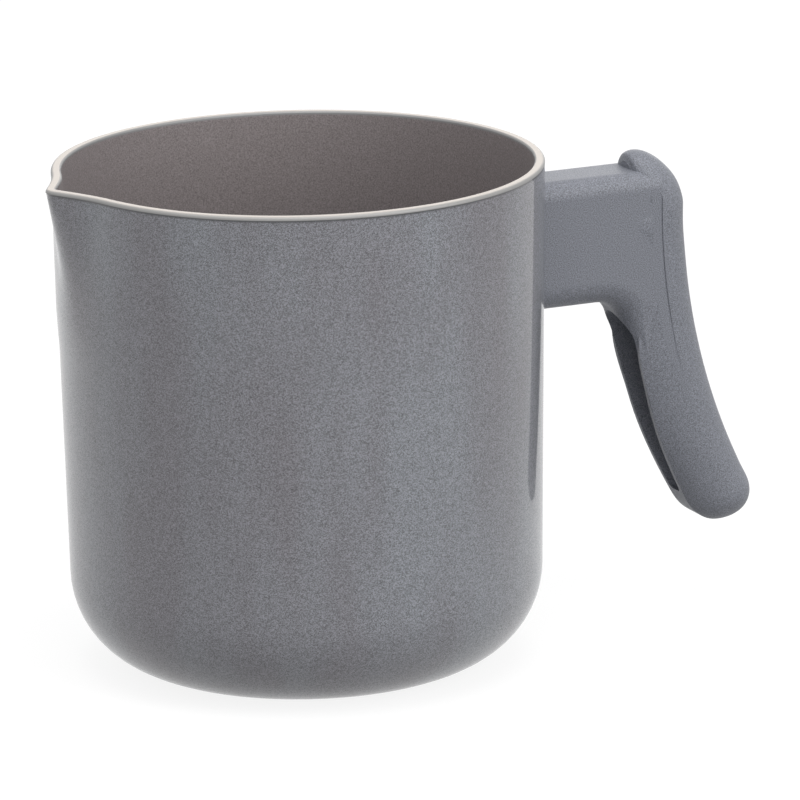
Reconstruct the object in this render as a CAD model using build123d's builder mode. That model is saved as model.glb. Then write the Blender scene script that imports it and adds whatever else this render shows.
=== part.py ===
from build123d import *
import math
import os

# Milk pan: a pressed aluminium body with a pouring spout, and one moulded phenolic handle
# that a long screw draws up to a stud on the wall.
# Millimetres, +Z up. The origin is on the axis of the body, in the plane that the pan stands on.
# The handle points along +X and the spout along -X, and both sides of the XZ plane are alike.

# Body
pan_height = 145.8
rim_radius = 70.0
wall_taper = 2.1
outer_corner_radius = 28.0
wall = 2.9
base_thickness = 3.4
rim_outer_round = 0.9
rim_inner_chamfer = 0.5

# Spout: a V pressed out of the rim, which runs down and back into the wall
spout_width = 45.6
spout_flank_radius = 95.0
spout_tip_round = 2.5
spout_bite = 0.12
spout_slope = 0.23
spout_blend = 7.0

# Grip: a round bar bent along one arc, flat on its pan side and domed at its tip.
# Its reach is from the wall to its back, and its rises and drops count from the middle of the boss.
grip_width = 22.2
grip_reach = 50.67
grip_back_depth = 10.3
grip_front_depth = 11.6
grip_bend_radius = 195.0
grip_bend_rise = 7.0
grip_length = 100.6
grip_flat_top_width = 18.0
grip_flat_tip_width = 9.4
grip_flat_start = 38.0
tip_dome_length = 12.0
tip_front_length = 14.0
tip_back_length = 8.5
tip_side_length = 9.5
tip_setback = 2.8
tip_front_depth_share = 0.91
shank_station_shares = ((0.0, 0.6), (0.14, 0.7), (0.26, 0.78), (0.36, 0.88), (0.42, 0.96),
                        (0.55, 0.985), (0.7, 0.99), (0.84, 0.96), (0.96, 0.92))
dome_station_shares = (1.0, 0.67, 0.42, 0.25, 0.12, 0.04)

# Thumb rest: the back of the grip curls forward over the boss and ends in a round
rest_curl_radius = 15.7
rest_curl_angle = 97.0
rest_swell = 3.9
rest_swell_power = 4
rest_front_depth = 5.2
rest_flat_width = 12.0
rest_round = 5.5
rest_round_shares = (0.0, 0.06, 0.2, 0.42, 0.7, 1.0)
rest_station_shares = (0.8, 0.6, 0.4, 0.2)

# Boss: the level part of the handle, which stands just clear of the wall and seats on the stud
boss_width = 21.6
boss_height = 37.9
boss_drop = 31.8
boss_top_round = 5.0
boss_low_round = 7.5
boss_end_round = 3.0
boss_wall_gap = 0.2

# Web: the underside of the boss turns down in an arc, runs on straight and sinks into the grip,
# while its two sides draw in
web_turn_lead = 19.4
web_turn_round = 8.0
web_turn_angle = 72.0
web_run = 17.0
web_depth = 8.4
web_low_width = 18.4

# Crease: the flat side of the boss runs on over the grip up to this line, where the grip stands
# a little proud. It fades out lower down, as the grip narrows to the width of the boss.
crease_setback = 0.4
crease_top_rise = 12.0
crease_low_drop = 50.0
crease_roof_rise = 16.0
crease_roof_setback = 3.0
grip_low_width = 21.5
grip_narrow_start = 24.0
grip_narrow_end = 58.0

# Channel: the hollow in the pan side of the grip, arched at its top
channel_rim = 0.7
channel_back_wall = 7.0
channel_arch_drop = 31.0
channel_low_drop = 80.5
channel_low_width = 8.0
channel_end_round = 2.6
channel_draft = 1.0

# Stud on the wall, which the handle's screw pulls on
stud_foot_diameter = 14.0
stud_foot_thickness = 1.6
stud_diameter = 10.0
stud_length = 14.0
stud_socket_gap = 0.3
tapped_diameter = 3.7
tapped_depth = 11.0

# Screw, in from the back of the grip
screw_diameter = 4.0
screw_thread_diameter = 3.6
screw_thread_length = 20.0
screw_length = 35.0
screw_hole_diameter = 4.8
screw_point_chamfer = 0.5
head_diameter = 8.0
head_height = 3.0
head_round = 1.6
recess_length = 4.6
recess_width = 1.1
recess_depth = 1.8
counterbore_diameter = 9.0
counterbore_depth = 11.1

# Washers under the screw's head
washer_diameter = 8.4
washer_bore = 4.3
washer_thickness = 0.8
spring_diameter = 7.6
spring_bore = 4.2
spring_thickness = 1.2
spring_slit = 0.8
spring_slit_angle = 20.0

overrun = 2.0

# Worked out from the sizes above
corner_top_radius = rim_radius - wall_taper
wall_lean = wall_taper / (pan_height - outer_corner_radius)
spout_half_angle = math.asin(spout_width / 2 / rim_radius)
spout_reach = rim_radius / math.cos(spout_half_angle) - rim_radius + spout_blend
spout_drop = spout_reach / (spout_slope - wall_lean)
boss_level = pan_height - boss_drop
wall_at_boss = rim_radius - wall_lean * boss_drop
grip_half = grip_width / 2
grip_back = wall_at_boss + grip_reach
grip_bend_level = boss_level + grip_bend_rise
grip_line_x = grip_back - grip_back_depth
bend_x = grip_line_x + grip_bend_radius
shank_length = grip_length - tip_dome_length
rest_curl_x = grip_back - rest_curl_radius
rest_round_turn = math.degrees(rest_round / (rest_curl_radius - grip_back_depth / 2))
boss_half = boss_width / 2
boss_top = boss_level + boss_height / 2
boss_low = boss_level - boss_height / 2
boss_start = wall_at_boss - boss_half
web_start = grip_line_x - web_turn_lead
web_turn = math.radians(web_turn_angle)
web_low_level = boss_low - web_turn_round * (1 - math.cos(web_turn)) - web_run * math.sin(web_turn)
channel_arch_level = boss_level - channel_arch_drop
channel_low_level = boss_level - channel_low_drop
counterbore_floor = grip_back - counterbore_depth
channel_half = grip_flat_top_width / 2 - channel_rim
channel_start = wall_at_boss + overrun
stud_foot_end = wall_at_boss + stud_foot_thickness
stud_end = wall_at_boss + stud_length
spring_start = counterbore_floor + washer_thickness
head_start = spring_start + spring_thickness


def cup_profile(thickness, floor):
    """Draws half of the cup's section: its outside, or its hollow where the wall and the base are given."""
    rim = (rim_radius - thickness, pan_height)
    low = (corner_top_radius - thickness, outer_corner_radius)
    Line((0, pan_height), rim)
    Line(rim, low)
    corner = JernArc(low, (0, -1), outer_corner_radius - floor, -90)
    Line(corner @ 1, (0, floor))
    Line((0, floor), (0, pan_height))


def spout_outline(thickness):
    """Draws the V of the spout at the rim, between two bowed flanks that just bite into the wall."""
    spread = rim_radius - wall - spout_bite + spout_flank_radius
    flank_centre = Vector(-math.cos(spout_half_angle), math.sin(spout_half_angle)) * spread
    tip_x = flank_centre.X + math.sqrt((spout_flank_radius + spout_tip_round) ** 2 - flank_centre.Y ** 2)
    tip_centre = Vector(tip_x, 0)
    flank_radius = spout_flank_radius + thickness - wall
    tip_round = spout_tip_round + wall - thickness
    start = flank_centre - flank_centre.normalized() * flank_radius
    join = tip_centre + (flank_centre - tip_centre).normalized() * tip_round
    middle = flank_centre + ((start + join) / 2 - flank_centre).normalized() * flank_radius
    flank = ThreePointArc(start, middle, join)
    ThreePointArc(join, tip_centre - Vector(tip_round, 0), (join.X, -join.Y))
    mirror(flank, about=Plane.XZ)
    Line((start.X, -start.Y), start)


def spout_creases(part):
    """The two long edges where the flanks of the spout run into the round wall."""
    curved = part.edges().filter_by(GeomType.BSPLINE)
    return curved.filter_by(lambda edge: edge.bounding_box().size.Z > spout_drop / 2)


# The space inside the pan, with its own spout
with BuildPart() as pan_hollow:
    with BuildSketch(Plane.XZ):
        with BuildLine():
            cup_profile(wall, base_thickness)
        make_face()
    revolve(axis=Axis.Z)
    with BuildSketch(Plane.XY.offset(pan_height)):
        with BuildLine():
            spout_outline(wall)
        make_face()
    extrude(amount=spout_drop, dir=(spout_slope, 0, -1))
    fillet(spout_creases(pan_hollow), spout_blend + wall)

with BuildPart() as pan_body:
    with BuildSketch(Plane.XZ):
        with BuildLine():
            cup_profile(0, 0)
        make_face()
    revolve(axis=Axis.Z)
    with BuildSketch(Plane.XY.offset(pan_height)):
        with BuildLine():
            spout_outline(0)
        make_face()
    extrude(amount=spout_drop, dir=(spout_slope, 0, -1))
    fillet(spout_creases(pan_body), spout_blend)
    add(pan_hollow.part, mode=Mode.SUBTRACT)
    rim_face = pan_body.faces().sort_by(Axis.Z)[-1]
    fillet(rim_face.outer_wire().edges(), rim_outer_round)
    rim_face = pan_body.faces().sort_by(Axis.Z)[-1]
    chamfer(rim_face.inner_wires()[0].edges(), rim_inner_chamfer)


def grip_plane(along):
    """Plane square to the bent grip, that far along it below the level where the bend starts."""
    angle = along / grip_bend_radius
    towards_pan = Vector(-math.cos(angle), 0, -math.sin(angle))
    down = Vector(math.sin(angle), 0, -math.cos(angle))
    origin = Vector(bend_x, 0, grip_bend_level) + towards_pan * grip_bend_radius
    return Plane(origin=origin, x_dir=towards_pan, z_dir=down)


def curl_plane(turn):
    """Plane through the axis of the thumb rest's curl, turned up by that many degrees."""
    angle = math.radians(turn)
    outward = Vector(math.cos(angle), 0, math.sin(angle))
    down = Vector(math.sin(angle), 0, -math.cos(angle))
    origin = Vector(rest_curl_x, 0, grip_bend_level) + outward * (rest_curl_radius - grip_back_depth)
    return Plane(origin=origin, x_dir=-outward, z_dir=down)


def grip_section(plane, half, back, front, flat_half):
    """Section of the grip: half an ellipse behind, two flanks that draw in, and the flat before the pan."""
    drop = half - flat_half
    radius = (front ** 2 + drop ** 2) / (2 * drop)
    turn = math.asin(front / radius) / 2
    middle = (radius * math.sin(turn), half - radius + radius * math.cos(turn))
    with BuildLine(plane) as outline:
        EllipticalCenterArc((0, 0), back, half, start_angle=90, arc_size=180)
        ThreePointArc((0, half), middle, (front, flat_half))
        Line((front, flat_half), (front, -flat_half))
        ThreePointArc((0, -half), (middle[0], -middle[1]), (front, -flat_half))
    return Face(outline.wire())


def grip_half_at(along):
    """Half width of the grip, which narrows a little below the boss."""
    share = (along - grip_narrow_start) / (grip_narrow_end - grip_narrow_start)
    return (grip_width + (grip_low_width - grip_width) * min(max(share, 0), 1)) / 2


def flat_half_at(along):
    """Half width of the grip's flat, which narrows towards the tip."""
    share = max(along - grip_flat_start, 0) / (shank_length - grip_flat_start)
    return (grip_flat_top_width + (grip_flat_tip_width - grip_flat_top_width) * share) / 2


def open_share(rest, length):
    """How far a domed end has opened out, that far in from its tip, as a share of the full size."""
    return math.sqrt(1 - max(0, 1 - rest / length) ** 2)


def dome_section(rest):
    """Section of the domed tip, which falls away first on the pan side and closes over the back."""
    front_depth = grip_front_depth * tip_front_depth_share
    front = (front_depth + tip_setback) * open_share(rest, tip_front_length) - tip_setback
    back = (grip_back_depth - tip_setback) * open_share(rest, tip_back_length) + tip_setback
    side_share = open_share(rest, tip_side_length)
    shift = (front * grip_back_depth - back * front_depth) / (grip_back_depth + front_depth)
    plane = grip_plane(grip_length - rest)
    plane.origin += plane.x_dir * shift
    half, flat_half = (size * side_share for size in (grip_half_at(shank_length), flat_half_at(shank_length)))
    return grip_section(plane, half, back + shift, front - shift, flat_half)


def rest_section(turn, inset):
    """Section of the thumb rest at a turn of its curl, drawn in all round by the inset."""
    swell = rest_swell * (turn / rest_curl_angle) ** rest_swell_power
    return grip_section(curl_plane(turn), grip_half - inset, grip_back_depth + swell - inset,
                        rest_front_depth, (rest_flat_width - inset) / 2)


def grip_sections():
    """Sections of the whole bar, from the end of the thumb rest to the point of the domed tip."""
    sections = []
    for share in rest_round_shares:
        inset = rest_round * (1 - math.sqrt(1 - (1 - share) ** 2))
        sections.append(rest_section(rest_curl_angle - rest_round_turn * share, inset))
    for share in rest_station_shares:
        sections.append(rest_section((rest_curl_angle - rest_round_turn) * share, 0))
    for along_share, depth_share in shank_station_shares:
        along = shank_length * along_share
        sections.append(grip_section(grip_plane(along), grip_half_at(along), grip_back_depth,
                                     grip_front_depth * depth_share, flat_half_at(along)))
    for share in dome_station_shares:
        sections.append(dome_section(tip_dome_length * share))
    tip_plane = grip_plane(grip_length)
    sections.append(Vertex(*(tip_plane.origin - tip_plane.x_dir * tip_setback)))
    return sections


def bend_point(radius, level):
    """Point of the side view at that level, on an arc about the axis of the grip's bend."""
    return (bend_x - math.sqrt(radius ** 2 - (grip_bend_level - level) ** 2), level)


def boss_profile():
    """Draws the side view of the boss, whose underside turns down into the web on the grip's front."""
    Line((boss_start, boss_low), (web_start, boss_low))
    turn = JernArc((web_start, boss_low), (1, 0), web_turn_round, -web_turn_angle)
    run = Line(turn @ 1, turn @ 1 + (turn % 1) * web_run)
    web_end = run @ 1
    web_back = (web_end.X + web_depth, web_end.Y)
    Line(web_end, web_back)
    Line(web_back, (grip_line_x, boss_low))
    Line((grip_line_x, boss_low), (grip_line_x, boss_top))
    Line((grip_line_x, boss_top), (boss_start, boss_top))
    Line((boss_start, boss_top), (boss_start, boss_low))


def low_corners(part):
    """The corners along the underside of the boss and down the front of the web, on both sides."""
    side_edges = part.faces().filter_by(Axis.Y).edges()
    return side_edges.filter_by(lambda edge: boss_start < edge.center().X < grip_line_x - web_depth
                                and edge.center().Z < boss_low + overrun)


def wall_cone(gap):
    """Solid out to that gap from the leaning outer face of the wall, and a little past its ends."""
    with BuildPart(mode=Mode.PRIVATE) as cone:
        with BuildSketch(Plane.XZ):
            Polygon((0, outer_corner_radius - overrun),
                    (corner_top_radius + gap - wall_lean * overrun, outer_corner_radius - overrun),
                    (rim_radius + gap + wall_lean * overrun, pan_height + overrun),
                    (0, pan_height + overrun), align=None)
        revolve(axis=Axis.Z)
    return cone.part


# What the draft takes off the two sides of the web
with BuildPart() as web_draft:
    with BuildSketch(Plane.YZ.offset(web_start)):
        Polygon((boss_half, boss_low), (web_low_width / 2, web_low_level),
                (boss_half + overrun, web_low_level), (boss_half + overrun, boss_low), align=None)
    extrude(amount=web_turn_lead + web_depth)
    mirror(about=Plane.XZ)

# The boss and its web, with the end that follows the wall
with BuildPart() as boss:
    with BuildSketch(Plane.XZ):
        with BuildLine():
            boss_profile()
        make_face()
    extrude(amount=boss_half, both=True)
    fillet(low_corners(boss), boss_low_round)
    fillet(boss.faces().sort_by(Axis.Z)[-1].edges().filter_by(Axis.X), boss_top_round)
    add(web_draft.part, mode=Mode.SUBTRACT)
    add(wall_cone(0), mode=Mode.SUBTRACT)
    fillet(boss.faces().sort_by(Axis.X)[0].edges(), boss_end_round)
    add(wall_cone(boss_wall_gap), mode=Mode.SUBTRACT)

# What the creases take off the two sides of the grip
with BuildPart() as side_recess:
    with BuildSketch(Plane.XZ.offset(boss_half)):
        with BuildLine():
            crease_top = bend_point(grip_bend_radius + crease_setback, boss_level + crease_top_rise)
            crease_low = bend_point(grip_bend_radius + crease_setback, boss_level - crease_low_drop)
            crease_roof = (grip_line_x - crease_roof_setback, boss_level + crease_roof_rise)
            crease_low_front = (crease_low[0] - grip_front_depth, crease_low[1])
            crease_roof_front = (crease_low_front[0], crease_roof[1])
            RadiusArc(crease_low, crease_top, grip_bend_radius + crease_setback)
            Line(crease_top, crease_roof)
            Line(crease_roof, crease_roof_front)
            Line(crease_roof_front, crease_low_front)
            Line(crease_low_front, crease_low)
        make_face()
    extrude(amount=grip_half - boss_half + overrun)
    mirror(about=Plane.XZ)

# The hollow of the grip
with BuildPart() as channel:
    with BuildSketch(Plane.YZ.offset(channel_start)) as channel_mouth:
        with BuildLine():
            arch = CenterArc((0, channel_arch_level), channel_half, 0, 180)
            low_left = (-channel_low_width / 2, channel_low_level)
            low_right = (channel_low_width / 2, channel_low_level)
            Line(arch @ 1, low_left)
            Line(low_left, low_right)
            Line(low_right, arch @ 0)
        make_face()
        fillet(channel_mouth.vertices().sort_by(Axis.Y)[:2], channel_end_round)
    extrude(amount=grip_back - channel_start, taper=channel_draft)
    with BuildSketch(Plane.XZ):
        with Locations((bend_x, grip_bend_level)):
            Circle(grip_bend_radius - grip_back_depth + channel_back_wall)
    extrude(amount=grip_half, both=True, mode=Mode.SUBTRACT)

with BuildPart() as handle:
    loft(sections=grip_sections())
    add(boss.part)
    add(side_recess.part, mode=Mode.SUBTRACT)
    add(channel.part, mode=Mode.SUBTRACT)
    bores = ((stud_foot_diameter + 2 * stud_socket_gap, stud_foot_end + stud_socket_gap),
             (stud_diameter + 2 * stud_socket_gap, stud_end),
             (screw_hole_diameter, counterbore_floor))
    for bore_diameter, bore_floor in bores:
        with BuildSketch(Plane.YZ.offset(boss_start)):
            with Locations((0, boss_level)):
                Circle(bore_diameter / 2)
        extrude(amount=bore_floor - boss_start, mode=Mode.SUBTRACT)
    with BuildSketch(Plane.YZ.offset(counterbore_floor)):
        with Locations((0, boss_level)):
            Circle(counterbore_diameter / 2)
    extrude(amount=grip_back + overrun - counterbore_floor, mode=Mode.SUBTRACT)

with BuildPart() as wall_stud:
    with BuildSketch(Plane.YZ.offset(boss_start)):
        with Locations((0, boss_level)):
            Circle(stud_foot_diameter / 2)
    extrude(amount=stud_foot_end - boss_start)
    with BuildSketch(Plane.YZ.offset(stud_foot_end)):
        with Locations((0, boss_level)):
            Circle(stud_diameter / 2)
    extrude(amount=stud_end - stud_foot_end)
    add(wall_cone(0), mode=Mode.SUBTRACT)
    with BuildSketch(Plane.YZ.offset(stud_end - tapped_depth)):
        with Locations((0, boss_level)):
            Circle(tapped_diameter / 2)
    extrude(amount=tapped_depth, mode=Mode.SUBTRACT)

with BuildPart() as handle_screw:
    with BuildSketch(Plane.YZ.offset(head_start)):
        with Locations((0, boss_level)):
            Circle(head_diameter / 2)
    extrude(amount=head_height)
    head_top = handle_screw.faces().sort_by(Axis.X)[-1]
    fillet(head_top.edges(), head_round)
    with BuildSketch(Plane.YZ.offset(head_start + head_height)):
        with Locations((0, boss_level)):
            Rectangle(recess_length, recess_width)
            Rectangle(recess_width, recess_length)
    extrude(amount=-recess_depth, mode=Mode.SUBTRACT)
    with BuildSketch(Plane.YZ.offset(head_start)):
        with Locations((0, boss_level)):
            Circle(screw_diameter / 2)
    extrude(amount=screw_thread_length - screw_length)
    with BuildSketch(Plane.YZ.offset(head_start + screw_thread_length - screw_length)):
        with Locations((0, boss_level)):
            Circle(screw_thread_diameter / 2)
    extrude(amount=-screw_thread_length)
    chamfer(handle_screw.faces().sort_by(Axis.X)[0].edges(), screw_point_chamfer)

with BuildPart() as flat_washer:
    with BuildSketch(Plane.YZ.offset(counterbore_floor)):
        with Locations((0, boss_level)):
            Circle(washer_diameter / 2)
            Circle(washer_bore / 2, mode=Mode.SUBTRACT)
    extrude(amount=washer_thickness)

with BuildPart() as spring_washer:
    with BuildSketch(Plane.YZ.offset(spring_start)):
        with Locations((0, boss_level)):
            Circle(spring_diameter / 2)
            Circle(spring_bore / 2, mode=Mode.SUBTRACT)
        with Locations(Location((0, boss_level), spring_slit_angle)):
            Rectangle(spring_diameter, spring_slit, align=(Align.MIN, Align.CENTER), mode=Mode.SUBTRACT)
    extrude(amount=spring_thickness)

os.makedirs("parts", exist_ok=True)
pan_body.part.label = "pan_body"
export_step(pan_body.part, "parts/pan_body.step")
handle.part.label = "handle"
export_step(handle.part, "parts/handle.step")
wall_stud.part.label = "wall_stud"
export_step(wall_stud.part, "parts/wall_stud.step")
handle_screw.part.label = "handle_screw"
export_step(handle_screw.part, "parts/handle_screw.step")
flat_washer.part.label = "flat_washer"
export_step(flat_washer.part, "parts/flat_washer.step")
spring_washer.part.label = "spring_washer"
export_step(spring_washer.part, "parts/spring_washer.step")
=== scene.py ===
"""A milk pan on a white studio floor: the finishes of its pieces, the lights and the camera."""
import math

import bpy
from mathutils import Matrix, Vector


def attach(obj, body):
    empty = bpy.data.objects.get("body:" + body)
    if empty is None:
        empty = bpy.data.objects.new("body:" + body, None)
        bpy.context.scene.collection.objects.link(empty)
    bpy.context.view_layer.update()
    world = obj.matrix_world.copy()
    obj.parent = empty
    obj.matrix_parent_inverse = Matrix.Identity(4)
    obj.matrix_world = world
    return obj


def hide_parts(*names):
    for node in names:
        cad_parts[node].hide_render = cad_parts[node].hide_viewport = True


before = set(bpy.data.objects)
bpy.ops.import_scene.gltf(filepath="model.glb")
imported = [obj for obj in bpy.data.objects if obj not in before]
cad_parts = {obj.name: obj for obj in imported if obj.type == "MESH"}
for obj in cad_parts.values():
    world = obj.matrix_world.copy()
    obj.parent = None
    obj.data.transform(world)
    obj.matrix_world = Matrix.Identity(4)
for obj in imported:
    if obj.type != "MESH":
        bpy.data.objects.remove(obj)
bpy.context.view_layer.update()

MM = 0.001
PAN_HEIGHT = 145.8 * MM
PAN_MIDDLE = Vector((0, 0, PAN_HEIGHT / 2))
HANDLE_TURN = 23.0


# Pan: the pressing, with the spout drawn softly out of the wall as a press leaves it.
# Angles are in degrees from the middle of the spout, and depths are below the rim.
# A skin is how far inside the pan's outer face a surface lies: 0 outside and WALL inside.

RIM_RADIUS = 70.0 * MM
WALL = 2.9 * MM
BASE_THICKNESS = 3.4 * MM
CORNER_RADIUS = 28.0 * MM
WALL_TAPER = 2.1 * MM
RIM_ROUND = 0.9 * MM
RIM_CHAMFER = 0.5 * MM
WALL_HEIGHT = PAN_HEIGHT - CORNER_RADIUS
WALL_LEAN = WALL_TAPER / WALL_HEIGHT
CORNER_CENTRE = RIM_RADIUS - WALL_TAPER - CORNER_RADIUS
INNER_CORNER_RADIUS = CORNER_RADIUS - BASE_THICKNESS
INNER_CORNER_CENTRE = RIM_RADIUS - WALL_TAPER - WALL - INNER_CORNER_RADIUS

# The two flanks of the spout bow towards each other and meet at the tip, which is a little rounded.
# The tip widens and the flanks blend more softly into the wall as they run down.
SPOUT_HALF_WIDTH = 22.8 * MM
SPOUT_BITE = 0.12 * MM
SPOUT_SLOPE = 0.23
FLANK_RADIUS = 95.0 * MM
FLANK_FALL = 0.4 * MM
TIP_TURN_OUTSIDE = 1.27
TIP_TURN_INSIDE = 0.6
TURN_GROWTH = 0.45 / MM
BLEND_AT_RIM = 0.3 * MM
BLEND_GROWTH = 0.08
SPOUT_DEPTH = 52.0 * MM
SPOUT_SPREAD = 28.0
SPREAD_FADE = 6.0
DEPTH_FADE = 12.0 * MM

# How finely the mesh is divided. Rows held close to the edges keep them crisp when smoothed.
SPOUT_ROWS = 44
LOWER_ROWS = 6
SPOUT_STEP = 0.5
ROUND_STEP = 2.0
CORNER_ROWS = 14
ROUND_ROWS = 5
FLOOR_RINGS = 4
EDGE_HOLD = 0.06 * MM


def spout_radius(angle, depth, skin):
    """How far out the V of the spout stands."""
    half_angle = math.degrees(math.asin(SPOUT_HALF_WIDTH / RIM_RADIUS))
    centre_reach = RIM_RADIUS - WALL - SPOUT_BITE + FLANK_RADIUS
    flank_radius = FLANK_RADIUS - WALL + skin
    tip_turn = TIP_TURN_OUTSIDE + (TIP_TURN_INSIDE - TIP_TURN_OUTSIDE) * skin / WALL
    turn = tip_turn + TURN_GROWTH * depth
    soft_angle = math.hypot(angle, turn) - (turn - tip_turn)
    swing = math.radians(max(half_angle - soft_angle, 0))
    bow = flank_radius ** 2 - (centre_reach * math.sin(swing)) ** 2
    reach = centre_reach * math.cos(swing) - math.sqrt(bow)
    return reach - FLANK_FALL * max(soft_angle - half_angle, 0) - SPOUT_SLOPE * depth


def wall_radius(angle, depth, skin):
    """Distance of the wall from the pan's axis, with the spout blended in."""
    plain = RIM_RADIUS - skin - WALL_LEAN * depth
    if depth > SPOUT_DEPTH or abs(angle) > SPOUT_SPREAD:
        return plain
    spout = spout_radius(angle, depth, skin)
    blend = BLEND_AT_RIM + BLEND_GROWTH * depth
    soft = (plain + spout + math.hypot(plain - spout, blend)) / 2
    fade = min(1.0, (SPOUT_SPREAD - abs(angle)) / SPREAD_FADE, (SPOUT_DEPTH - depth) / DEPTH_FADE)
    return plain + (soft - plain) * fade


def column_angles():
    """Angles of the columns all round, closely spaced across the spout."""
    near_steps = int(2 * SPOUT_SPREAD / SPOUT_STEP)
    far_steps = int((360 - 2 * SPOUT_SPREAD) / ROUND_STEP)
    near = [step * SPOUT_STEP - SPOUT_SPREAD for step in range(near_steps)]
    far = [SPOUT_SPREAD + step * ROUND_STEP for step in range(far_steps)]
    return near + far


def base_rows(floor_level, corner_radius, corner_centre):
    """Height and radius of each row of one side of the base, from its middle to its corner's end."""
    rows = [(floor_level, corner_centre * ring / FLOOR_RINGS) for ring in range(1, FLOOR_RINGS + 1)]
    for row in range(1, CORNER_ROWS):
        turn = math.radians(90 * row / CORNER_ROWS)
        height = CORNER_RADIUS - corner_radius * math.cos(turn)
        rows.append((height, corner_centre + corner_radius * math.sin(turn)))
    return rows


def wall_depths(start):
    """Depths of the rows of one side of the wall, from the rim down to the corner."""
    upper = [start + (SPOUT_DEPTH - start) * row / SPOUT_ROWS for row in range(SPOUT_ROWS + 1)]
    lower_step = (WALL_HEIGHT - SPOUT_DEPTH) / LOWER_ROWS
    lower = [SPOUT_DEPTH + lower_step * row for row in range(1, LOWER_ROWS + 1)]
    return upper + lower


def pan_rings(angles):
    """Rings of (radius, height) points, from the underside up over the rim and down inside."""
    outside = base_rows(0.0, CORNER_RADIUS, CORNER_CENTRE)
    inside = base_rows(BASE_THICKNESS, INNER_CORNER_RADIUS, INNER_CORNER_CENTRE)
    rings = [[(radius, height)] * len(angles) for height, radius in outside]
    for depth in reversed(wall_depths(RIM_ROUND + EDGE_HOLD)):
        rings.append([(wall_radius(angle, depth, 0.0), PAN_HEIGHT - depth) for angle in angles])
    for row in range(ROUND_ROWS + 1):
        turn = math.radians(90 * row / ROUND_ROWS)
        inset = RIM_ROUND * (1 - math.cos(turn))
        height = PAN_HEIGHT - RIM_ROUND * (1 - math.sin(turn))
        rings.append([(wall_radius(angle, 0.0, 0.0) - inset, height) for angle in angles])
    rings.append([(wall_radius(angle, 0.0, 0.0) - RIM_ROUND - EDGE_HOLD, PAN_HEIGHT) for angle in angles])
    for inset, drop in ((RIM_CHAMFER + EDGE_HOLD, 0.0), (RIM_CHAMFER, 0.0), (0.0, RIM_CHAMFER)):
        rings.append([(wall_radius(angle, 0.0, WALL) + inset, PAN_HEIGHT - drop) for angle in angles])
    for depth in wall_depths(RIM_CHAMFER + EDGE_HOLD):
        rings.append([(wall_radius(angle, depth, WALL), PAN_HEIGHT - depth) for angle in angles])
    rings += [[(radius, height)] * len(angles) for height, radius in reversed(inside)]
    return rings


def pan_faces(ring_count, columns):
    """Faces between the rings, and a fan to the middle of the underside and of the floor inside."""
    faces = []
    for row in range(ring_count - 1):
        below, above = row * columns, (row + 1) * columns
        for column in range(columns):
            after = (column + 1) % columns
            faces.append((below + column, below + after, above + after, above + column))
    last_ring = (ring_count - 1) * columns
    under_middle = ring_count * columns
    floor_middle = under_middle + 1
    for column in range(columns):
        after = (column + 1) % columns
        faces.append((after, column, under_middle))
        faces.append((last_ring + column, last_ring + after, floor_middle))
    return faces


def pressed_pan(material):
    """Makes the pan's surface and puts it in the place of the CAD body."""
    angles = column_angles()
    rings = pan_rings(angles)
    points = []
    for ring in rings:
        for angle, (radius, height) in zip(angles, ring):
            turn = math.radians(angle)
            points.append((-radius * math.cos(turn), -radius * math.sin(turn), height))
    points += [(0, 0, 0), (0, 0, BASE_THICKNESS)]
    faces = pan_faces(len(rings), len(angles))
    mesh = bpy.data.meshes.new("pressed_pan")
    mesh.from_pydata(points, [], faces)
    mesh.polygons.foreach_set("use_smooth", [True] * len(faces))
    mesh.materials.append(material)
    piece = bpy.data.objects.new("pressed_pan", mesh)
    bpy.context.scene.collection.objects.link(piece)
    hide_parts("pan_body")
    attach(piece, "root")


# Tools for making materials. The numbers say where a Mix node keeps its two inputs and its output
# when it mixes colours, and its two inputs when it mixes values.

COLOUR_A, COLOUR_B, COLOUR_OUT = 6, 7, 2
VALUE_A, VALUE_B = 2, 3

# The curve of the sRGB standard
SRGB_KNEE = 0.04045
SRGB_SLOPE = 12.92
SRGB_OFFSET = 0.055
SRGB_POWER = 2.4


def linear(hex_colour):
    """Turns an sRGB hex colour into the linear values that a shader works in."""
    channels = [int(hex_colour[start:start + 2], 16) / 255 for start in (1, 3, 5)]
    dark = [c / SRGB_SLOPE for c in channels]
    bright = [((c + SRGB_OFFSET) / (1 + SRGB_OFFSET)) ** SRGB_POWER for c in channels]
    return [d if c <= SRGB_KNEE else b for c, d, b in zip(channels, dark, bright)] + [1.0]


def add_node(material, kind, inputs=None, **settings):
    """Adds a node with its settings, and sets or links each input that is named."""
    tree = material.node_tree
    node = tree.nodes.new("ShaderNode" + kind)
    for name, value in settings.items():
        setattr(node, name, value)
    for name, value in (inputs or {}).items():
        if isinstance(value, bpy.types.NodeSocket):
            tree.links.new(value, node.inputs[name])
        else:
            node.inputs[name].default_value = value
    return node


def new_material(name):
    """Makes a material that has no nodes yet."""
    material = bpy.data.materials.new(name)
    material.use_nodes = True
    material.node_tree.nodes.clear()
    return material


def finish_material(material, shader):
    """Gives the material its output, joined to the shader."""
    add_node(material, "OutputMaterial", {"Surface": shader.outputs[0]})
    return material


def wear(node_name, material):
    """Gives a CAD piece its material, in place of the plain one that it came with."""
    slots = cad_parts[node_name].data.materials
    slots.clear()
    slots.append(material)


# Pressed aluminium pan: metal-flake enamel outside, sprayed non-stick inside, rim turned bare.
# The enamel is a grey that sparkles finely under a clear, glossy top layer, with faint warm patches
# of painted reflection and a thin line of painted shade under the rim. The non-stick is matte and a
# little brown. The bare rim is a thin line, painted pale on top as a painted highlight and greyer
# where it turns as painted shade. Real flakes are about 0.05 mm and sprayed specks about 0.2 mm,
# which no picture of the whole pan would show, so both are drawn coarser.

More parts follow.
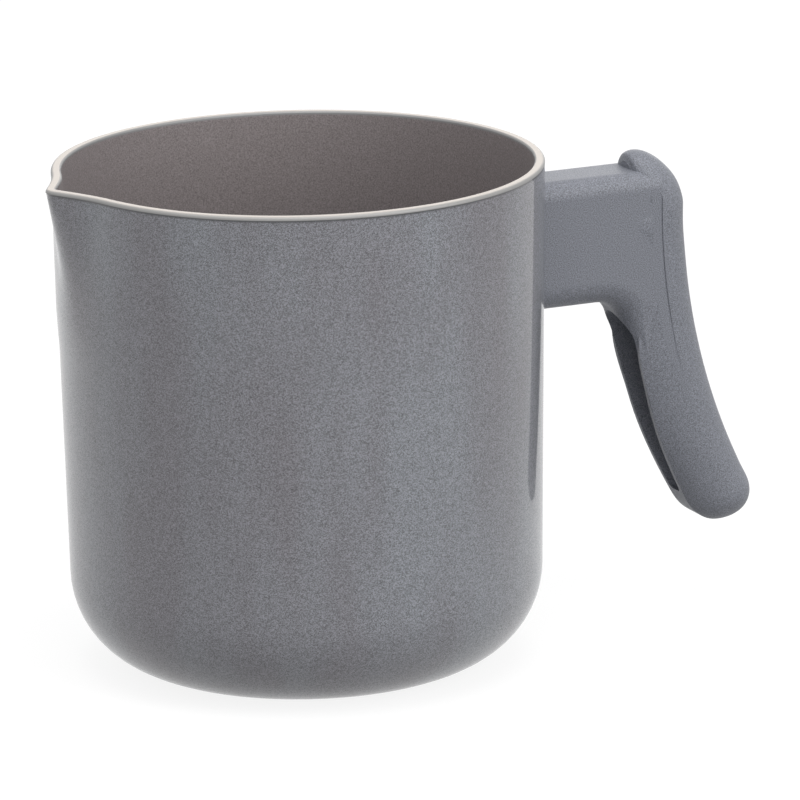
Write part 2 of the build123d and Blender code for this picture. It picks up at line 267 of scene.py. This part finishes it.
FINE_DETAIL = 2.0
FLAKE_SIZE = 0.22 * MM
FLAKE_TONES = ("#57595c", "#9fa2aa")
# Painted reflection: tall, faintly warm patches multiplied over the flakes
REFLECTION_PATCH_SIZE = 22.0 * MM
REFLECTION_PATCH_STRETCH = 0.22
REFLECTION_PATCH_RANGE = (0.35, 0.65)
REFLECTION_PATCH_TONES = ("#ebe4e4", "#ffffff")
# Painted shade: a thin dark line on the enamel just under the rim
UNDER_RIM_SHADE_HEIGHT = 0.9 * MM
UNDER_RIM_SHADE_TONE = "#434446"
ENAMEL_ROUGHNESS = 0.42
FLAKE_METAL = 0.12
CLEAR_SHARE = 0.7
CLEAR_ROUGHNESS = 0.06
CLEAR_IOR = 1.5
PEEL_SIZE = 9.0 * MM
PEEL_DETAIL = 1.0

SPRAY_SIZE = 0.4 * MM
SPRAY_TONES = ("#504949", "#aca4a4")
SPRAY_ROUGHNESS = 0.55

RIM_BAND = 1.0 * MM
RIM_FOOT = PAN_HEIGHT - RIM_BAND
RIM_BLUR = 0.12 * MM
# Painted light on the bare rim: its top painted pale as a highlight, its outward and inward turns painted
# greyer as shade
RIM_TOP_HIGHLIGHT_TONE = "#c9c2bb"
RIM_OUTER_SHADE_TONE = "#9a9998"
RIM_INNER_SHADE_TONE = "#8f8f8f"
RIM_LIGHT_TURN = (0.1, 0.7)
RIM_ROUGHNESS = 0.5
RIM_METAL = 0.4

PAN_BUMP = 0.25
PAN_RELIEF = 0.05 * MM
PAN_SPECULAR = 0.25


def facing_outward(material, point, normal):
    """How squarely the surface faces away from the pan's axis: 1 outside and -1 inside."""
    flat_point = add_node(material, "VectorMath", {0: point, 1: (1, 1, 0)}, operation="MULTIPLY")
    outward = add_node(material, "VectorMath", {0: flat_point.outputs[0]}, operation="NORMALIZE")
    facing = add_node(material, "VectorMath", {0: normal, 1: outward.outputs[0]}, operation="DOT_PRODUCT")
    return facing.outputs["Value"]


def outer_share(material, facing, normal):
    """1 on the outside and the underside, and 0 on the inside."""
    upward = add_node(material, "SeparateXYZ", {0: normal}).outputs["Z"]
    balance = add_node(material, "Math", {0: facing, 1: upward}, operation="SUBTRACT")
    outer = add_node(material, "Math", {0: balance.outputs[0], 1: 0.0}, operation="GREATER_THAN")
    return outer.outputs[0]


def rising(material, level, start, end):
    """0 below the height start and 1 above the height end, with a smooth step between."""
    step = add_node(material, "MapRange", {"Value": level, "From Min": start, "From Max": end},
                    interpolation_type="SMOOTHSTEP")
    return step.outputs[0]


def enamel_colour(material, point, level):
    """Flakes in two greys, tinted by tall warm patches of painted reflection, with a painted shade line
    under the rim.
    """
    flakes = add_node(material, "TexVoronoi", {"Vector": point, "Scale": 1 / FLAKE_SIZE})
    flake_tone = add_node(material, "SeparateColor", {0: flakes.outputs["Color"]}).outputs["Red"]
    flaked = add_node(material, "Mix", {"Factor": flake_tone, COLOUR_A: linear(FLAKE_TONES[0]),
                                        COLOUR_B: linear(FLAKE_TONES[1])}, data_type="RGBA")
    # Painted reflection: tall, faintly warm patches that tint the flakes
    tall_point = add_node(material, "VectorMath", {0: point, 1: (1, 1, REFLECTION_PATCH_STRETCH)}, operation="MULTIPLY")
    reflection_patches = add_node(material, "TexNoise", {"Vector": tall_point.outputs[0], "Scale": 1 / REFLECTION_PATCH_SIZE,
                                             "Detail": FINE_DETAIL})
    reflection_share = add_node(material, "MapRange", {"Value": reflection_patches.outputs[0], "From Min": REFLECTION_PATCH_RANGE[0],
                                                  "From Max": REFLECTION_PATCH_RANGE[1]})
    reflection_tint = add_node(material, "Mix", {"Factor": reflection_share.outputs[0],
                                            COLOUR_A: linear(REFLECTION_PATCH_TONES[0]),
                                            COLOUR_B: linear(REFLECTION_PATCH_TONES[1])}, data_type="RGBA")
    with_reflection = add_node(material, "Mix", {"Factor": 1.0, COLOUR_A: flaked.outputs[COLOUR_OUT],
                                         COLOUR_B: reflection_tint.outputs[COLOUR_OUT]},
                       data_type="RGBA", blend_type="MULTIPLY")
    # Painted shade darkens a thin line just under the rim
    under_rim_shade = rising(material, level, RIM_FOOT - UNDER_RIM_SHADE_HEIGHT, RIM_FOOT)
    enamel = add_node(material, "Mix", {"Factor": under_rim_shade, COLOUR_A: with_reflection.outputs[COLOUR_OUT],
                                        COLOUR_B: linear(UNDER_RIM_SHADE_TONE)}, data_type="RGBA")
    return enamel.outputs[COLOUR_OUT]


def rim_painted_light(material, facing):
    """Painted light on the bare rim: pale on top as a painted highlight, and greyer as painted shade where
    it turns outward or inward.
    """
    start, end = RIM_LIGHT_TURN
    turned_out = add_node(material, "MapRange", {"Value": facing, "From Min": start, "From Max": end})
    turned_in = add_node(material, "MapRange", {"Value": facing, "From Min": -start, "From Max": -end})
    outer = add_node(material, "Mix", {"Factor": turned_out.outputs[0], COLOUR_A: linear(RIM_TOP_HIGHLIGHT_TONE),
                                       COLOUR_B: linear(RIM_OUTER_SHADE_TONE)}, data_type="RGBA")
    whole = add_node(material, "Mix", {"Factor": turned_in.outputs[0], COLOUR_A: outer.outputs[COLOUR_OUT],
                                       COLOUR_B: linear(RIM_INNER_SHADE_TONE)}, data_type="RGBA")
    return whole.outputs[COLOUR_OUT]


def pan_material():
    material = new_material("enamelled_aluminium")
    place = add_node(material, "TexCoord")
    point = place.outputs["Object"]
    level = add_node(material, "SeparateXYZ", {0: point}).outputs["Z"]
    facing = facing_outward(material, point, place.outputs["Normal"])
    outside = outer_share(material, facing, place.outputs["Normal"])
    rim = rising(material, level, RIM_FOOT - RIM_BLUR, RIM_FOOT + RIM_BLUR)

    spray = add_node(material, "TexNoise", {"Vector": point, "Scale": 1 / SPRAY_SIZE, "Detail": FINE_DETAIL})
    non_stick = add_node(material, "Mix", {"Factor": spray.outputs[0], COLOUR_A: linear(SPRAY_TONES[0]),
                                           COLOUR_B: linear(SPRAY_TONES[1])}, data_type="RGBA")
    sides = add_node(material, "Mix", {"Factor": outside, COLOUR_A: non_stick.outputs[COLOUR_OUT],
                                       COLOUR_B: enamel_colour(material, point, level)}, data_type="RGBA")
    # The bare rim carries its painted highlight and painted shade
    colour = add_node(material, "Mix", {"Factor": rim, COLOUR_A: sides.outputs[COLOUR_OUT],
                                        COLOUR_B: rim_painted_light(material, facing)}, data_type="RGBA")

    side_rough = add_node(material, "Mix", {"Factor": outside, VALUE_A: SPRAY_ROUGHNESS,
                                            VALUE_B: ENAMEL_ROUGHNESS})
    rough = add_node(material, "Mix", {"Factor": rim, VALUE_A: side_rough.outputs[0],
                                       VALUE_B: RIM_ROUGHNESS})
    side_metal = add_node(material, "Math", {0: outside, 1: FLAKE_METAL}, operation="MULTIPLY")
    metal = add_node(material, "Mix", {"Factor": rim, VALUE_A: side_metal.outputs[0],
                                       VALUE_B: RIM_METAL})

    # The clear layer covers the enamel and leaves the rim and the inside
    below_rim = add_node(material, "Math", {0: 1.0, 1: rim}, operation="SUBTRACT")
    enamelled = add_node(material, "Math", {0: outside, 1: below_rim.outputs[0]}, operation="MULTIPLY")
    clear = add_node(material, "Math", {0: enamelled.outputs[0], 1: CLEAR_SHARE}, operation="MULTIPLY")

    peel = add_node(material, "TexNoise", {"Vector": point, "Scale": 1 / PEEL_SIZE, "Detail": PEEL_DETAIL})
    relief = add_node(material, "Mix", {"Factor": outside, VALUE_A: spray.outputs[0],
                                        VALUE_B: peel.outputs[0]})
    bump = add_node(material, "Bump", {"Height": relief.outputs[0], "Strength": PAN_BUMP,
                                       "Distance": PAN_RELIEF})

    shader = add_node(material, "BsdfPrincipled", {
        "Base Color": colour.outputs[COLOUR_OUT], "Metallic": metal.outputs[0],
        "Roughness": rough.outputs[0], "Coat Weight": clear.outputs[0],
        "Coat Roughness": CLEAR_ROUGHNESS, "Coat IOR": CLEAR_IOR,
        "Specular IOR Level": PAN_SPECULAR, "Normal": bump.outputs[0]})
    return finish_material(material, shader)


# Phenolic handle: compression moulded in a spark-eroded tool, which leaves a satin, sandy skin.
# The eye gets a cool grey with fine dark and pale grains. Real ones are about 0.1 mm, and are
# drawn coarser to show.

GRAIN_SIZE = 0.3 * MM
GRAIN_ROUGHNESS = 0.6
GRAIN_RANGE = (0.25, 0.75)
GRAIN_TONES = ("#44464b", "#9c9fa9")
GRAIN_BUMP = 0.7
GRAIN_RELIEF = 0.1 * MM
HANDLE_ROUGHNESS = 0.5


def handle_material():
    material = new_material("moulded_phenolic")
    point = add_node(material, "TexCoord").outputs["Object"]
    grain = add_node(material, "TexNoise", {"Vector": point, "Scale": 1 / GRAIN_SIZE, "Detail": FINE_DETAIL,
                                            "Roughness": GRAIN_ROUGHNESS})
    grain_tone = add_node(material, "MapRange", {"Value": grain.outputs[0], "From Min": GRAIN_RANGE[0],
                                                 "From Max": GRAIN_RANGE[1]})
    colour = add_node(material, "Mix", {"Factor": grain_tone.outputs[0], COLOUR_A: linear(GRAIN_TONES[0]),
                                        COLOUR_B: linear(GRAIN_TONES[1])}, data_type="RGBA")
    bump = add_node(material, "Bump", {"Height": grain.outputs[0], "Strength": GRAIN_BUMP,
                                       "Distance": GRAIN_RELIEF})
    shader = add_node(material, "BsdfPrincipled", {
        "Base Color": colour.outputs[COLOUR_OUT], "Roughness": HANDLE_ROUGHNESS,
        "Normal": bump.outputs[0]})
    return finish_material(material, shader)


# Metal of the hidden fixings: zinc-plated steel for the screw and washers, a pale and slightly
# blue grey, and turned aluminium for the stud, paler and neutral. Both show fine marks of tooling.

TURNING_PITCH = 0.3 * MM
TURNING_WANDER = 0.5
ZINC_TONES = ("#b4b7ba", "#c9cccf")
ZINC_ROUGHNESS = 0.32
ALUMINIUM_TONES = ("#c6c5c4", "#d8d7d6")
ALUMINIUM_ROUGHNESS = 0.35


def turned_metal(name, tones, roughness):
    material = new_material(name)
    point = add_node(material, "TexCoord").outputs["Object"]
    turning = add_node(material, "TexWave", {"Vector": point, "Scale": 1 / TURNING_PITCH / math.tau,
                                             "Distortion": TURNING_WANDER}, bands_direction="X")
    colour = add_node(material, "Mix", {"Factor": turning.outputs[0], COLOUR_A: linear(tones[0]),
                                        COLOUR_B: linear(tones[1])}, data_type="RGBA")
    shader = add_node(material, "BsdfPrincipled", {
        "Base Color": colour.outputs[COLOUR_OUT], "Metallic": 1.0, "Roughness": roughness})
    return finish_material(material, shader)


pan_finish = pan_material()
wear("pan_body", pan_finish)
pressed_pan(pan_finish)
wear("handle", handle_material())
steel = turned_metal("zinc_plated_steel", ZINC_TONES, ZINC_ROUGHNESS)
for fixing in ("handle_screw", "flat_washer", "spring_washer"):
    wear(fixing, steel)
wear("wall_stud", turned_metal("turned_aluminium", ALUMINIUM_TONES, ALUMINIUM_ROUGHNESS))


# Floor: painted board that the camera, gloss and glass see as white, with the pan's shadow kept

FLOOR_SIZE = 9.0
FLOOR_TONE = "#7a7a7a"
FLOOR_ROUGHNESS = 0.9
FLOOR_LIFT = 0.86
WHITE = (1, 1, 1, 1)


def seen_share(owner):
    """1 where the camera, gloss or glass looks at the background, and 0 where it only lights."""
    path = add_node(owner, "LightPath")
    straight = add_node(owner, "Math", {0: path.outputs["Is Camera Ray"], 1: path.outputs["Is Glossy Ray"]},
                        operation="MAXIMUM")
    seen = add_node(owner, "Math", {0: straight.outputs[0], 1: path.outputs["Is Transmission Ray"]},
                    operation="MAXIMUM")
    return seen.outputs[0]


def floor_material():
    material = new_material("painted_board")
    lift = add_node(material, "Math", {0: seen_share(material), 1: FLOOR_LIFT}, operation="MULTIPLY")
    shader = add_node(material, "BsdfPrincipled", {
        "Base Color": linear(FLOOR_TONE), "Roughness": FLOOR_ROUGHNESS, "Specular IOR Level": 0.0,
        "Emission Color": WHITE, "Emission Strength": lift.outputs[0]})
    return finish_material(material, shader)


bpy.ops.mesh.primitive_plane_add(size=FLOOR_SIZE)
floor = bpy.context.object
floor.name = "floor"
floor.data.materials.append(floor_material())


# Room: an even pale light from all round, white where the camera, gloss and glass see it, with
# five softboxes. Each has a bearing in degrees to the right of the photographer, a rise in
# degrees, its distance, width and height in metres, and its watts.

ROOM_LEVEL = 0.55
SOFTBOXES = {
    "left_softbox": (-70, 45, 1.6, 0.8, 0.8, 1.5),
    "front_softbox": (5, 10, 2.0, 2.2, 0.7, 4.5),
    "right_softbox": (55, 25, 1.8, 1.0, 1.3, 11),
    "top_softbox": (10, 75, 1.6, 1.2, 1.2, 12),
    "back_softbox": (175, 12, 2.0, 1.4, 1.0, 5),
}


def light_room():
    world = bpy.data.worlds.new("studio")
    world.use_nodes = True
    world.node_tree.nodes.clear()
    level = add_node(world, "Mix", {"Factor": seen_share(world), VALUE_A: ROOM_LEVEL, VALUE_B: 1.0})
    glow = add_node(world, "Background", {"Color": WHITE, "Strength": level.outputs[0]})
    add_node(world, "OutputWorld", {"Surface": glow.outputs[0]})
    bpy.context.scene.world = world


def softbox(name, bearing, rise, distance, width, height, watts):
    """Adds a soft light that shines at the middle of the pan."""
    turn = math.radians(bearing - HANDLE_TURN)
    lift = math.radians(rise)
    away = Vector((math.sin(turn) * math.cos(lift), -math.cos(turn) * math.cos(lift), math.sin(lift)))
    lamp = bpy.data.lights.new(name, "AREA")
    lamp.shape = "RECTANGLE"
    lamp.size = width
    lamp.size_y = height
    lamp.energy = watts
    holder = bpy.data.objects.new(name, lamp)
    holder.location = PAN_MIDDLE + away * distance
    holder.rotation_euler = (-away).to_track_quat("-Z", "Y").to_euler()
    bpy.context.scene.collection.objects.link(holder)


light_room()
for box_name, box_figures in SOFTBOXES.items():
    softbox(box_name, *box_figures)


# Camera: where the photograph was taken from, found from the rim, the base and the sides.
# Its reach and height are in metres, its swing, tilt and roll in degrees, and its lens in mm.

CAMERA_REACH = 1.92474
CAMERA_HEIGHT = 0.57725
CAMERA_SWING = 0.8248
CAMERA_TILT = 14.6146
CAMERA_ROLL = -1.0169
FOCAL_LENGTH = 313.06
SENSOR_WIDTH = 36.0


def place_camera():
    camera = bpy.data.cameras.new("camera")
    camera.sensor_width = SENSOR_WIDTH
    camera.lens = FOCAL_LENGTH
    holder = bpy.data.objects.new("camera", camera)
    bpy.context.scene.collection.objects.link(holder)
    to_part = Matrix.Rotation(math.radians(-HANDLE_TURN), 4, "Z")
    heading = Matrix.Rotation(math.radians(-CAMERA_SWING), 4, "Z")
    tilt = Matrix.Rotation(math.radians(90 - CAMERA_TILT), 4, "X")
    roll = Matrix.Rotation(math.radians(CAMERA_ROLL), 4, "Z")
    stand = Matrix.Translation((0, -CAMERA_REACH, CAMERA_HEIGHT))
    holder.matrix_world = to_part @ stand @ heading @ tilt @ roll
    bpy.context.scene.camera = holder


place_camera()
bpy.context.scene.view_settings.view_transform = "Standard"
